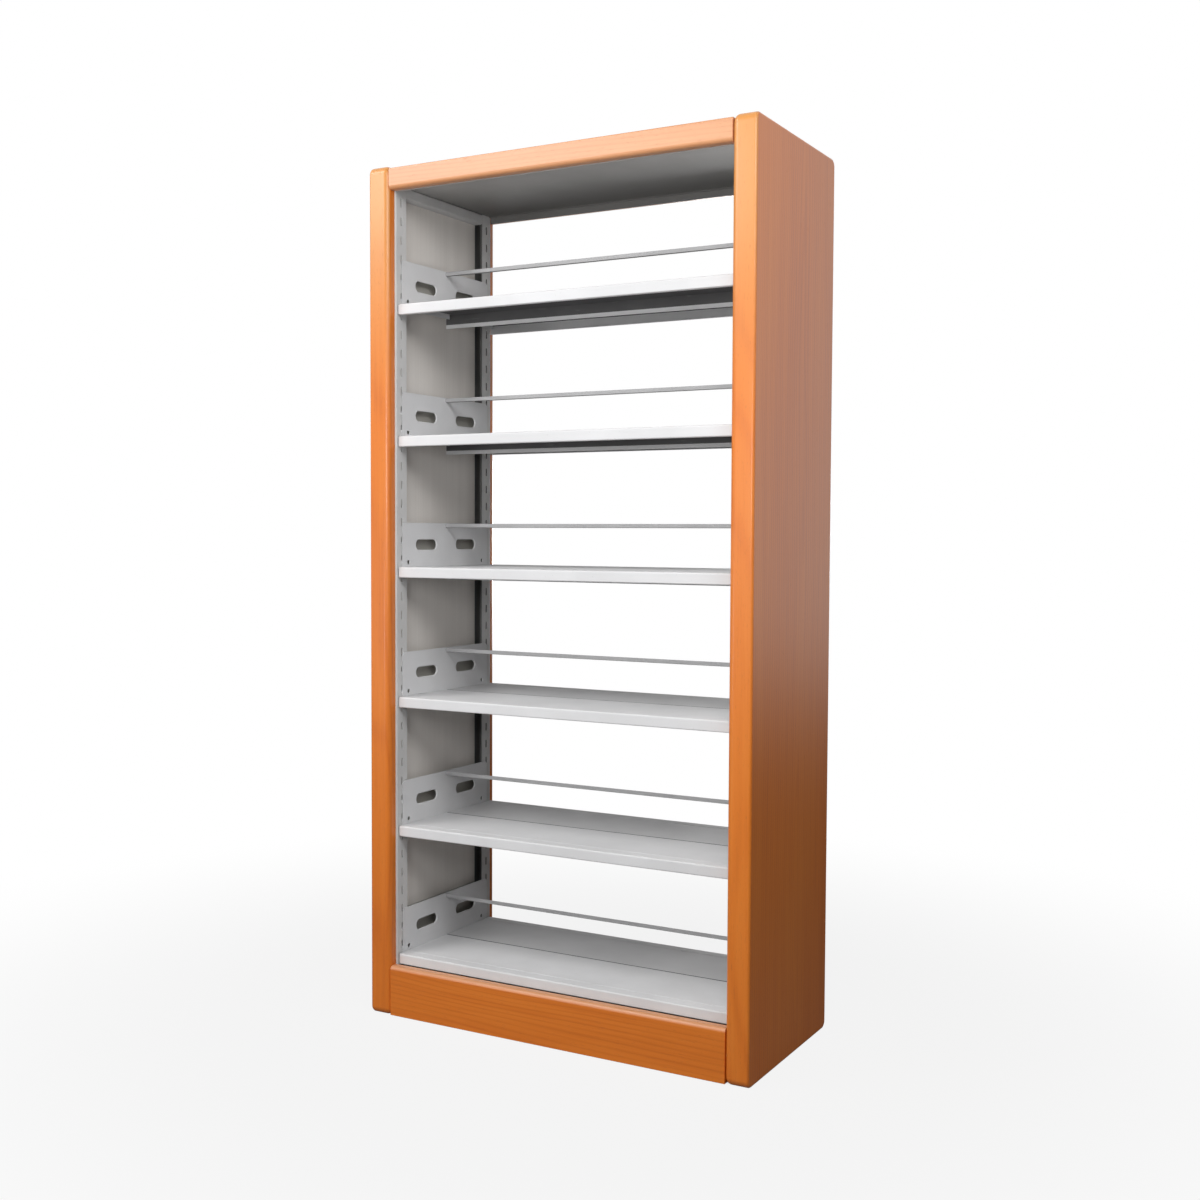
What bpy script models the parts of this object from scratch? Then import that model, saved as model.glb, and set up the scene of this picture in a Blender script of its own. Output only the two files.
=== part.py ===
# Double-sided library bookcase: wood end panels round a slotted steel frame,
# with sheet-steel shelves that hang on hooked brackets. Metres, +Z up, the front faces -Y.
# The origin is on the floor, under the middle of the bookcase.

import math

import bmesh
import bpy

# Overall size
UNIT_WIDTH = 0.980
UNIT_DEPTH = 0.450
UNIT_HEIGHT = 2.000

# Gap between pieces that touch
FIT = 0.0003

# End panels: a board with a thick edge all round, hollowed on its inner face for the steel frame
PANEL_THICKNESS = 0.055
PANEL_BOARD = 0.025
PANEL_SILL = 0.020
PANEL_CORNER_ROUND = 0.018
PANEL_OUTER_ROUND = 0.006
PANEL_INNER_ROUND = 0.014
LEAST_ROUND = 0.002

# Wood boards that run between the end panels, top and bottom, front and rear
CROSS_BOARD = 0.022
CROSS_RECESS = 0.003
TOP_RAIL_HEIGHT = 0.049
TOP_RAIL_DROP = 0.0065
TOP_RAIL_UNDER_ROUND = 0.009
TOP_RAIL_TOP_ROUND = 0.003
KICK_HEIGHT = 0.118
KICK_FLOOR_GAP = 0.002
KICK_ROUND = 0.010
DOWEL_RADIUS = 0.004
DOWEL_LENGTH = 0.040
DOWEL_END_GAP = 0.0005

# Canopy: a flat steel box, open at its ends, that sits on the end frames
CANOPY_DROP = 0.015
CANOPY_THICKNESS = 0.025
CANOPY_SHEET = 0.0015
CANOPY_BOLT_SPACING = 0.200
BOLT_RADIUS = 0.003
BOLT_HEAD_RADIUS = 0.0055
BOLT_HEAD_HEIGHT = 0.004
BOLT_REACH = 0.008

# End frames: two slotted uprights, a top tie, a base tie and a side sheet between them
FRAME_WALL = 0.002
UPRIGHT_DEPTH = 0.040
UPRIGHT_PROUD = 0.004
SLOT_PITCH = 0.044
SLOT_WIDTH = 0.005
SLOT_HEIGHT = 0.020
SLOT_MARGIN = 0.025
TOP_TIE_HEIGHT = 0.025
BASE_TIE_HEIGHT = 0.075
SIDE_SHEET = 0.0015
SIDE_SHEET_RECESS = 0.022

# Shelf levels: the lowest stands over the kick plates, and the rest are counted in slots of the uprights
BOTTOM_SHELF_RISE = 0.024
SHELF_STEP_SLOTS = 7
TOP_SPACE_SLOTS = 5

# Shelf boards, a front and a rear one on each level
BOARD_SHEET = 0.0015
BOARD_FRONT_GAP = 0.005
BOARD_CENTRE_GAP = 0.0006
BOARD_END_GAP = 0.0008
BOARD_LIP = 0.025
BOARD_LIP_ROUND = 0.004
BOARD_LIP_RETURN = 0.010
BOARD_BACK_LIP = 0.034

# Brackets: a plate across the depth, a ledge with a turned-down lip under the boards, and hooks for the slots
BRACKET_SHEET = 0.002
BRACKET_RISE = 0.105
BRACKET_ROUND = 0.010
LEDGE_WIDTH = 0.020
LEDGE_LIP = 0.011
LEDGE_END_GAP = 0.006
LEDGE_CENTRE_GAP = 0.016
HOOK_RISE = 0.008
HOOK_NECK = 0.007
HOOK_DROP = 0.008
HOOK_DEPTH = 0.004
LONG_HOLE_LENGTH = 0.085
LONG_HOLE_HEIGHT = 0.026
LONG_HOLE_OFFSET = 0.083
PIN_HOLE_RADIUS = 0.005
PIN_HOLE_RISE = 0.011
PIN_HOLE_SETBACK = 0.024

# Stop rail: a folded angle between the two brackets of a level, with a tab of its face through each plate
STOP_RAIL_SHEET = 0.0015
STOP_RAIL_HEIGHT = 0.0095
STOP_RAIL_DEPTH = 0.008
STOP_RAIL_DROP = 0.0015
STOP_TAB_HEIGHT = 0.006
STOP_TAB_REACH = 0.003

# Steps in which round stretches are drawn
CORNER_STEPS = 4
EDGE_STEPS = 3
LIP_STEPS = 3
HOLE_STEPS = 10
DOWEL_STEPS = 12

# Places that follow from the sizes
panel_inner_x = UNIT_WIDTH / 2 - PANEL_THICKNESS
pocket_floor_x = UNIT_WIDTH / 2 - PANEL_BOARD
pocket_y = UNIT_DEPTH / 2 - CROSS_RECESS - CROSS_BOARD
canopy_top = UNIT_HEIGHT - CANOPY_DROP
canopy_underside = canopy_top - CANOPY_THICKNESS
frame_face_x = panel_inner_x - UPRIGHT_PROUD
frame_edge_x = pocket_floor_x - FIT
frame_bottom = PANEL_SILL + FIT
frame_top = canopy_underside - FIT
upright_outer_y = pocket_y - FIT
upright_inner_y = upright_outer_y - UPRIGHT_DEPTH
slot_y = upright_outer_y - UPRIGHT_DEPTH / 2
tie_end_y = upright_inner_y - FIT
base_tie_top = frame_bottom + BASE_TIE_HEIGHT
top_tie_bottom = frame_top - TOP_TIE_HEIGHT
bracket_outer_x = frame_face_x - FIT
bracket_mid_x = bracket_outer_x - BRACKET_SHEET / 2
bracket_inner_x = bracket_outer_x - BRACKET_SHEET
board_end_x = bracket_inner_x - BOARD_END_GAP
board_front_y = pocket_y - BOARD_FRONT_GAP
ledge_mid_z = -BOARD_SHEET - FIT - BRACKET_SHEET / 2
stop_rail_top = BRACKET_RISE - STOP_RAIL_DROP
stop_rail_mid = stop_rail_top - STOP_RAIL_HEIGHT / 2
stop_face_y = STOP_RAIL_SHEET / 2 - STOP_RAIL_DEPTH / 2
kick_top = KICK_FLOOR_GAP + KICK_HEIGHT
bottom_shelf_top = kick_top + BOTTOM_SHELF_RISE
shelf_step = SHELF_STEP_SLOTS * SLOT_PITCH
top_space = TOP_SPACE_SLOTS * SLOT_PITCH
shelf_room = canopy_underside - bottom_shelf_top - top_space
shelf_count = int(shelf_room / shelf_step) + 1
shelf_tops = [bottom_shelf_top + level * shelf_step for level in range(shelf_count)]

SIDES = {"left": -1, "right": 1}
FACES = {"front": -1, "rear": 1}


def clear_scene():
    for obj in list(bpy.data.objects):
        bpy.data.objects.remove(obj, do_unlink=True)


def make_material(name, color, roughness, metallic):
    material = bpy.data.materials.new(name)
    material.use_nodes = True
    shader = material.node_tree.nodes["Principled BSDF"]
    shader.inputs["Base Color"].default_value = (*color, 1.0)
    shader.inputs["Roughness"].default_value = roughness
    shader.inputs["Metallic"].default_value = metallic
    return material


def mesh_from(bm, name, material):
    bmesh.ops.recalc_face_normals(bm, faces=bm.faces)
    mesh = bpy.data.meshes.new(name)
    bm.to_mesh(mesh)
    bm.free()
    mesh.materials.append(material)
    return mesh


def add_object(name, mesh, parent=None, location=(0, 0, 0)):
    obj = bpy.data.objects.new(name, mesh)
    obj.location = location
    obj.parent = parent
    bpy.context.scene.collection.objects.link(obj)
    return obj


def add_thickness(obj, thickness):
    solidify = obj.modifiers.new("sheet", "SOLIDIFY")
    solidify.thickness = thickness
    solidify.offset = 0
    solidify.use_even_offset = True
    solidify.use_quality_normals = True


def add_cutter(name, mesh, targets):
    cutter = add_object(name, mesh)
    cutter.hide_render = True
    cutter.display_type = "WIRE"
    for target in targets:
        boolean = target.modifiers.new(name, "BOOLEAN")
        boolean.operation = "DIFFERENCE"
        boolean.solver = "EXACT"
        boolean.object = cutter


def arc(center, radius, start_deg, end_deg, steps):
    angles = [math.radians(start_deg + (end_deg - start_deg) * i / steps) for i in range(steps + 1)]
    return [(center[0] + radius * math.cos(a), center[1] + radius * math.sin(a)) for a in angles]


def loft(bm, rings):
    # Joins closed rings of equal length into one solid, with a face at each end
    loops = [[bm.verts.new(point) for point in ring] for ring in rings]
    count = len(loops[0])
    for low, high in zip(loops, loops[1:]):
        for i in range(count):
            j = (i + 1) % count
            bm.faces.new((low[i], low[j], high[j], high[i]))
    bm.faces.new(loops[0])
    bm.faces.new(loops[-1])


def strip(bm, points, direction):
    # Sweeps an open line of points by a vector, as a folded sheet's middle surface
    near = [bm.verts.new(point) for point in points]
    far = [bm.verts.new([p + d for p, d in zip(point, direction)]) for point in points]
    for i in range(len(points) - 1):
        bm.faces.new((near[i], near[i + 1], far[i + 1], far[i]))


def pierced_face(bm, outline, holes, place):
    # Fills a flat outline around its holes, and returns the outline's vertices
    rings = []
    for points in [outline] + holes:
        rings.append([bm.verts.new(place(*point)) for point in points])
    edges = []
    for ring in rings:
        for i, vertex in enumerate(ring):
            edges.append(bm.edges.new((vertex, ring[(i + 1) % len(ring)])))
    bmesh.ops.triangle_fill(bm, use_beauty=True, use_dissolve=False, edges=edges)
    return rings[0]


def box_mesh(name, low, high, material):
    corners = [(low[0], low[1]), (high[0], low[1]), (high[0], high[1]), (low[0], high[1])]
    bm = bmesh.new()
    loft(bm, [[(x, y, z) for x, y in corners] for z in (low[2], high[2])])
    return mesh_from(bm, name, material)


def turned_mesh(name, sections, place, steps, material):
    # A solid of revolution from (along, radius) sections; place puts its axis where it belongs
    bm = bmesh.new()
    rings = []
    for along, radius in sections:
        ring = arc((0, 0), radius, 0, 360, steps)[:-1]
        rings.append([place(along, a, b) for a, b in ring])
    loft(bm, rings)
    return mesh_from(bm, name, material)


def panel_ring(x, inset):
    # Side outline of an end panel, drawn in by inset, with rounded corners
    radius = max(PANEL_CORNER_ROUND - inset, LEAST_ROUND)
    low_y = -UNIT_DEPTH / 2 + inset + radius
    high_y = UNIT_DEPTH / 2 - inset - radius
    low_z = inset + radius
    high_z = UNIT_HEIGHT - inset - radius
    corners = [(high_y, low_z, -90), (high_y, high_z, 0), (low_y, high_z, 90), (low_y, low_z, 180)]
    points = []
    for y, z, start in corners:
        points += arc((y, z), radius, start, start + 90, CORNER_STEPS)
    return [(x, y, z) for y, z in points]


def end_panel(side, sign, wood):
    rings = []
    for i in range(EDGE_STEPS + 1):
        angle = math.radians(90 * i / EDGE_STEPS)
        x = UNIT_WIDTH / 2 - PANEL_OUTER_ROUND * (1 - math.cos(angle))
        rings.append(panel_ring(sign * x, PANEL_OUTER_ROUND * (1 - math.sin(angle))))
    for i in range(CORNER_STEPS + 1):
        angle = math.radians(90 * i / CORNER_STEPS)
        x = panel_inner_x + PANEL_INNER_ROUND * (1 - math.sin(angle))
        rings.append(panel_ring(sign * x, PANEL_INNER_ROUND * (1 - math.cos(angle))))
    bm = bmesh.new()
    loft(bm, rings)
    panel = add_object(side + "_end_panel", mesh_from(bm, side + "_end_panel", wood))
    xs = sorted((sign * pocket_floor_x, sign * frame_face_x))
    low = (xs[0], -pocket_y, PANEL_SILL)
    high = (xs[1], pocket_y, canopy_top + FIT)
    add_cutter(side + "_pocket", box_mesh(side + "_pocket", low, high, wood), [panel])
    return panel


def cross_board(name, face, low_z, high_z, low_round, high_round, wood):
    # A wood board between the end panels, with its outer edges eased; a round of 0 leaves an edge square
    outer_y = UNIT_DEPTH / 2 - CROSS_RECESS
    inner_y = outer_y - CROSS_BOARD
    low_edge = [(outer_y, low_z)]
    if low_round > 0:
        low_edge = arc((outer_y - low_round, low_z + low_round), low_round, -90, 0, EDGE_STEPS)
    high_edge = [(outer_y, high_z)]
    if high_round > 0:
        high_edge = arc((outer_y - high_round, high_z - high_round), high_round, 0, 90, EDGE_STEPS)
    profile = [(inner_y, low_z)] + low_edge + high_edge + [(inner_y, high_z)]
    end_x = panel_inner_x - FIT
    bm = bmesh.new()
    loft(bm, [[(x, FACES[face] * y, z) for y, z in profile] for x in (-end_x, end_x)])
    return add_object(name, mesh_from(bm, name, wood))


def dowel_place(sign, y, z):
    return lambda along, a, b: (sign * panel_inner_x + along, y + a, z + b)


def dowels(stem, face, board, z, panels, wood, beech):
    # One dowel at each end of a cross board, half in the board and half in the end panel
    y = FACES[face] * (UNIT_DEPTH / 2 - CROSS_RECESS - CROSS_BOARD / 2)
    half = DOWEL_LENGTH / 2
    bore_half = half + DOWEL_END_GAP
    for side, sign in SIDES.items():
        name = stem + "_dowel_" + face + "_" + side
        place = dowel_place(sign, y, z)
        sections = [(-half, DOWEL_RADIUS), (half, DOWEL_RADIUS)]
        add_object(name, turned_mesh(name, sections, place, DOWEL_STEPS, beech))
        bore = [(-bore_half, DOWEL_RADIUS + FIT), (bore_half, DOWEL_RADIUS + FIT)]
        mesh = turned_mesh(name + "_bore", bore, place, DOWEL_STEPS, wood)
        add_cutter(name + "_bore", mesh, [board, panels[side]])


def slot_heights():
    # Lower and upper edges of the slots, from the bottom of an upright to its top
    first = bottom_shelf_top + HOOK_RISE - FIT
    below = int((first - frame_bottom - SLOT_MARGIN) / SLOT_PITCH)
    lowest = first - below * SLOT_PITCH
    count = int((frame_top - SLOT_MARGIN - SLOT_HEIGHT - lowest) / SLOT_PITCH) + 1
    heights = []
    for i in range(count):
        heights += [lowest + i * SLOT_PITCH, lowest + i * SLOT_PITCH + SLOT_HEIGHT]
    return heights


def upright(side, face, steel):
    # A channel with a row of slots along its inner web, open towards the middle of the end frame
    sign_x = SIDES[side]
    sign_y = FACES[face]
    name = "upright_" + face + "_" + side
    web_x = sign_x * (frame_face_x + FRAME_WALL / 2)
    back_x = sign_x * (frame_edge_x - FRAME_WALL / 2)
    fold_y = sign_y * (upright_outer_y - FRAME_WALL / 2)
    rim_y = sign_y * upright_inner_y
    heights = [frame_bottom] + slot_heights() + [frame_top]
    bm = bmesh.new()
    near = [bm.verts.new((web_x, sign_y * (slot_y - SLOT_WIDTH / 2), z)) for z in heights]
    far = [bm.verts.new((web_x, sign_y * (slot_y + SLOT_WIDTH / 2), z)) for z in heights]
    rim, fold, corner, edge = [
        [bm.verts.new((x, y, z)) for z in (frame_top, frame_bottom)]
        for x, y in ((web_x, rim_y), (web_x, fold_y), (back_x, fold_y), (back_x, rim_y))]
    bm.faces.new(near + rim)
    for i in range(0, len(heights), 2):
        bm.faces.new((near[i], far[i], far[i + 1], near[i + 1]))
    bm.faces.new(far + fold)
    bm.faces.new(fold + corner[::-1])
    bm.faces.new(corner + edge[::-1])
    obj = add_object(name, mesh_from(bm, name, steel))
    add_thickness(obj, FRAME_WALL)


def tie(name, side, low_z, high_z, steel):
    # A channel between the two uprights of one end, open towards the end panel
    sign = SIDES[side]
    web_x = sign * (frame_face_x + FRAME_WALL / 2)
    edge_x = sign * frame_edge_x
    low = low_z + FRAME_WALL / 2
    high = high_z - FRAME_WALL / 2
    profile = [(edge_x, low), (web_x, low), (web_x, high), (edge_x, high)]
    bm = bmesh.new()
    strip(bm, [(x, -tie_end_y, z) for x, z in profile], (0, 2 * tie_end_y, 0))
    obj = add_object(name, mesh_from(bm, name, steel))
    add_thickness(obj, FRAME_WALL)
    return obj


def side_sheet(side, steel):
    inner_x = frame_face_x + SIDE_SHEET_RECESS
    xs = sorted((SIDES[side] * inner_x, SIDES[side] * (inner_x + SIDE_SHEET)))
    low = (xs[0], -tie_end_y, base_tie_top + FIT)
    high = (xs[1], tie_end_y, top_tie_bottom - FIT)
    add_object("side_sheet_" + side, box_mesh("side_sheet_" + side, low, high, steel))


def canopy(steel):
    half = CANOPY_SHEET / 2
    edge_y = upright_outer_y - half
    low = canopy_underside + half
    high = canopy_top - half
    bm = bmesh.new()
    corners = [(-edge_y, low), (edge_y, low), (edge_y, high), (-edge_y, high)]
    ends = [[bm.verts.new((x, y, z)) for y, z in corners] for x in (-frame_edge_x, frame_edge_x)]
    for i in range(len(corners)):
        j = (i + 1) % len(corners)
        bm.faces.new((ends[0][i], ends[0][j], ends[1][j], ends[1][i]))
    obj = add_object("canopy", mesh_from(bm, "canopy", steel))
    add_thickness(obj, CANOPY_SHEET)
    return obj


def bolt_place(x, y):
    return lambda along, a, b: (x + a, y + b, along)


def canopy_bolts(top, ties, steel, zinc):
    # Bolts up through the top ties into the canopy's lower sheet
    seat = frame_top - FRAME_WALL - FIT
    tip = canopy_underside + BOLT_REACH
    for side, sign in SIDES.items():
        x = sign * (frame_face_x + SIDE_SHEET_RECESS / 2)
        for face, way in FACES.items():
            name = "canopy_bolt_" + face + "_" + side
            place = bolt_place(x, way * CANOPY_BOLT_SPACING / 2)
            sections = [(seat - BOLT_HEAD_HEIGHT, BOLT_HEAD_RADIUS), (seat, BOLT_HEAD_RADIUS),
                        (seat, BOLT_RADIUS), (tip, BOLT_RADIUS)]
            add_object(name, turned_mesh(name, sections, place, DOWEL_STEPS, zinc))
            bore = [(seat - FIT, BOLT_RADIUS + FIT), (tip + FIT, BOLT_RADIUS + FIT)]
            mesh = turned_mesh(name + "_bore", bore, place, DOWEL_STEPS, steel)
            add_cutter(name + "_bore", mesh, [top, ties[side]])


def oblong(center_y, center_z, length, height):
    reach = (length - height) / 2
    radius = height / 2
    steps = HOLE_STEPS // 2
    return (arc((center_y + reach, center_z), radius, -90, 90, steps)
            + arc((center_y - reach, center_z), radius, 90, 270, steps))


def hook_rises():
    # Heights of the hooks' necks above the shelf top, one slot apart, as many as the plate has room for
    room = BRACKET_RISE - BRACKET_ROUND - HOOK_NECK - HOOK_RISE
    return [HOOK_RISE + i * SLOT_PITCH for i in range(int(room / SLOT_PITCH) + 1)]


def bracket_outline():
    # Corners of the plate in y and in z above the shelf top, round from the bottom of its front end
    ledge_far = slot_y - LEDGE_END_GAP
    necks = []
    for rise in hook_rises():
        necks += [rise, rise + HOOK_NECK]
    bottom = [-slot_y, -ledge_far, -LEDGE_CENTRE_GAP, LEDGE_CENTRE_GAP, ledge_far, slot_y]
    points = [(y, ledge_mid_z) for y in bottom]
    points += [(slot_y, z) for z in necks]
    top_y = slot_y - BRACKET_ROUND
    top_z = BRACKET_RISE - BRACKET_ROUND
    points += arc((top_y, top_z), BRACKET_ROUND, 0, 90, EDGE_STEPS)
    points += arc((-top_y, top_z), BRACKET_ROUND, 90, 180, EDGE_STEPS)
    points += [(-slot_y, z) for z in reversed(necks)]
    return points


def bracket_holes():
    holes = []
    for way in FACES.values():
        holes.append(oblong(way * LONG_HOLE_OFFSET, BRACKET_RISE / 2, LONG_HOLE_LENGTH, LONG_HOLE_HEIGHT))
        pin = arc((way * (slot_y - PIN_HOLE_SETBACK), PIN_HOLE_RISE), PIN_HOLE_RADIUS, 0, 360, HOLE_STEPS)
        holes.append(pin[:-1])
    half_y = STOP_RAIL_SHEET / 2 + FIT
    half_z = STOP_TAB_HEIGHT / 2 + FIT
    near, far = stop_face_y - half_y, stop_face_y + half_y
    low, high = stop_rail_mid - half_z, stop_rail_mid + half_z
    holes.append([(near, low), (far, low), (far, high), (near, high)])
    return holes


def bracket_mesh(side, steel):
    sign = SIDES[side]
    outline = bracket_outline()
    bm = bmesh.new()
    ring = pierced_face(bm, outline, bracket_holes(), lambda y, z: (sign * bracket_mid_x, y, z))
    at = {}
    for vertex, point in zip(ring, outline):
        at[point] = vertex
    ledge_far = slot_y - LEDGE_END_GAP
    ledge_x = sign * (bracket_inner_x - LEDGE_WIDTH)
    for near, far in ((-ledge_far, -LEDGE_CENTRE_GAP), (LEDGE_CENTRE_GAP, ledge_far)):
        fold = [at[(near, ledge_mid_z)], at[(far, ledge_mid_z)]]
        edge = [bm.verts.new((ledge_x, y, ledge_mid_z)) for y in (far, near)]
        lip = [bm.verts.new((ledge_x, y, ledge_mid_z - LEDGE_LIP)) for y in (near, far)]
        bm.faces.new(fold + edge)
        bm.faces.new(edge + lip)
    wall_x = sign * (frame_face_x + FRAME_WALL + FIT)
    tip_x = sign * (frame_face_x + FRAME_WALL + FIT + HOOK_DEPTH)
    for y in (-slot_y, slot_y):
        for rise in hook_rises():
            neck_low = bm.verts.new((wall_x, y, rise))
            neck_high = bm.verts.new((wall_x, y, rise + HOOK_NECK))
            bm.faces.new((at[(y, rise)], neck_low, neck_high, at[(y, rise + HOOK_NECK)]))
            drop = bm.verts.new((wall_x, y, rise - HOOK_DROP))
            tip_low = bm.verts.new((tip_x, y, rise - HOOK_DROP))
            tip_high = bm.verts.new((tip_x, y, rise + HOOK_NECK))
            bm.faces.new((neck_low, drop, tip_low, tip_high, neck_high))
    return mesh_from(bm, "bracket_" + side, steel)


def board_mesh(face, steel):
    # Folded tray: front lip with a return, top sheet, and a deeper lip along the middle of the bookcase
    sign = FACES[face]
    half = BOARD_SHEET / 2
    lip_y = board_front_y - half
    lip_low = -BOARD_LIP + half
    back_y = BOARD_CENTRE_GAP + half
    bend = BOARD_LIP_ROUND - half
    profile = [(board_front_y - BOARD_LIP_RETURN, lip_low), (lip_y, lip_low)]
    profile += arc((board_front_y - BOARD_LIP_ROUND, -BOARD_LIP_ROUND), bend, 0, 90, LIP_STEPS)
    profile += [(back_y, -half), (back_y, -BOARD_BACK_LIP)]
    bm = bmesh.new()
    strip(bm, [(-board_end_x, sign * y, z) for y, z in profile], (2 * board_end_x, 0, 0))
    return mesh_from(bm, "board_" + face, steel)


def stop_rail_mesh(steel):
    # An upright face with a tab at each end, and a flange back from its lower edge
    end_x = bracket_inner_x - FIT
    tab_x = bracket_outer_x + STOP_TAB_REACH
    low = stop_rail_top - STOP_RAIL_HEIGHT + STOP_RAIL_SHEET / 2
    tab_low = stop_rail_mid - STOP_TAB_HEIGHT / 2
    tab_high = stop_rail_mid + STOP_TAB_HEIGHT / 2
    right = [(end_x, low), (end_x, tab_low), (tab_x, tab_low), (tab_x, tab_high), (end_x, tab_high),
             (end_x, stop_rail_top)]
    outline = right + [(-x, z) for x, z in reversed(right)]
    bm = bmesh.new()
    face = [bm.verts.new((x, stop_face_y, z)) for x, z in outline]
    flange = [bm.verts.new((x, STOP_RAIL_DEPTH / 2, low)) for x in (-end_x, end_x)]
    bm.faces.new(face)
    bm.faces.new([face[0], face[-1]] + flange)
    return mesh_from(bm, "stop_rail", steel)


def shelves(steel, bright):
    # The carrier's origin is on the shelf top; it lifts along Z to free the hooks, with all it holds
    brackets = {side: bracket_mesh(side, steel) for side in SIDES}
    boards = {face: board_mesh(face, bright) for face in FACES}
    rail = stop_rail_mesh(bright)
    for level, top in enumerate(shelf_tops, start=1):
        stem = "shelf_" + str(level)
        carrier = add_object(stem + "_carrier", None, location=(0, 0, top))
        for side, mesh in brackets.items():
            add_thickness(add_object(stem + "_bracket_" + side, mesh, carrier), BRACKET_SHEET)
        for face, mesh in boards.items():
            add_thickness(add_object(stem + "_board_" + face, mesh, carrier), BOARD_SHEET)
        add_thickness(add_object(stem + "_stop_rail", rail, carrier), STOP_RAIL_SHEET)


def main():
    clear_scene()
    wood = make_material("wood", (0.72, 0.31, 0.09), 0.38, 0.0)
    beech = make_material("dowel_wood", (0.70, 0.50, 0.30), 0.70, 0.0)
    frame_steel = make_material("frame_steel", (0.52, 0.51, 0.50), 0.45, 0.0)
    shelf_steel = make_material("shelf_steel", (0.74, 0.74, 0.75), 0.40, 0.0)
    zinc = make_material("zinc", (0.60, 0.60, 0.58), 0.35, 1.0)
    panels = {side: end_panel(side, sign, wood) for side, sign in SIDES.items()}
    rail_top = UNIT_HEIGHT - TOP_RAIL_DROP
    rail_low = rail_top - TOP_RAIL_HEIGHT
    for face in FACES:
        rounds = (TOP_RAIL_UNDER_ROUND, TOP_RAIL_TOP_ROUND)
        rail = cross_board("top_rail_" + face, face, rail_low, rail_top, *rounds, wood)
        dowels("top_rail", face, rail, (rail_low + rail_top) / 2, panels, wood, beech)
        kick = cross_board("kick_plate_" + face, face, KICK_FLOOR_GAP, kick_top, 0, KICK_ROUND, wood)
        dowels("kick_plate", face, kick, (KICK_FLOOR_GAP + kick_top) / 2, panels, wood, beech)
    ties = {}
    for side in SIDES:
        for face in FACES:
            upright(side, face, frame_steel)
        ties[side] = tie("top_tie_" + side, side, top_tie_bottom, frame_top, frame_steel)
        tie("base_tie_" + side, side, frame_bottom, base_tie_top, frame_steel)
        side_sheet(side, frame_steel)
    canopy_bolts(canopy(frame_steel), ties, frame_steel, zinc)
    shelves(frame_steel, shelf_steel)


main()
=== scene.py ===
import math

import bmesh
import bpy
from mathutils import Matrix, Vector


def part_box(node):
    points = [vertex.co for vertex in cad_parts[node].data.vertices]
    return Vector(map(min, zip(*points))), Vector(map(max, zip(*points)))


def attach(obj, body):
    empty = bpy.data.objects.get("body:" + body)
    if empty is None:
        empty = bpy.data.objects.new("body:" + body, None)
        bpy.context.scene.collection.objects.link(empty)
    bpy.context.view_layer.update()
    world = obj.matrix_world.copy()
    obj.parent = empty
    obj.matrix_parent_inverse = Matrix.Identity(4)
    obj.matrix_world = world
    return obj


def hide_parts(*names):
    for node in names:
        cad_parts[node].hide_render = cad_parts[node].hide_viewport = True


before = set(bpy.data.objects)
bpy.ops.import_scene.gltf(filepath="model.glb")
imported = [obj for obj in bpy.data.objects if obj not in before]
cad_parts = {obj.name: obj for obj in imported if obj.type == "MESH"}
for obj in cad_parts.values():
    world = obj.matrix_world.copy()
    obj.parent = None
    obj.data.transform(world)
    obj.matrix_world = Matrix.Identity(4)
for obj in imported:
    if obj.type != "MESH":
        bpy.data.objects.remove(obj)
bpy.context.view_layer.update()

sides = {"left": -1, "right": 1}
faces = {"front": -1, "rear": 1}
levels = range(1, 7)


# shader wiring

class Wire:
    # a shader socket that takes part in Python arithmetic
    def __init__(self, sheet, socket):
        self.sheet = sheet
        self.socket = socket

    def maths(self, operation, first, second=0.0):
        return self.sheet.add("ShaderNodeMath", {"operation": operation}, {0: first, 1: second})

    def __add__(self, other):
        return self.maths("ADD", self, other)

    def __radd__(self, other):
        return self.maths("ADD", other, self)

    def __sub__(self, other):
        return self.maths("SUBTRACT", self, other)

    def __rsub__(self, other):
        return self.maths("SUBTRACT", other, self)

    def __mul__(self, other):
        return self.maths("MULTIPLY", self, other)

    def __rmul__(self, other):
        return self.maths("MULTIPLY", other, self)

    def __truediv__(self, other):
        return self.maths("DIVIDE", self, other)

    def __rtruediv__(self, other):
        return self.maths("DIVIDE", other, self)

    def __pow__(self, other):
        return self.maths("POWER", self, other)

    def __abs__(self):
        return self.maths("ABSOLUTE", self)

    def swing(self, reach):
        # a noise value taken about its middle
        return (self - 0.5) * reach


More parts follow.
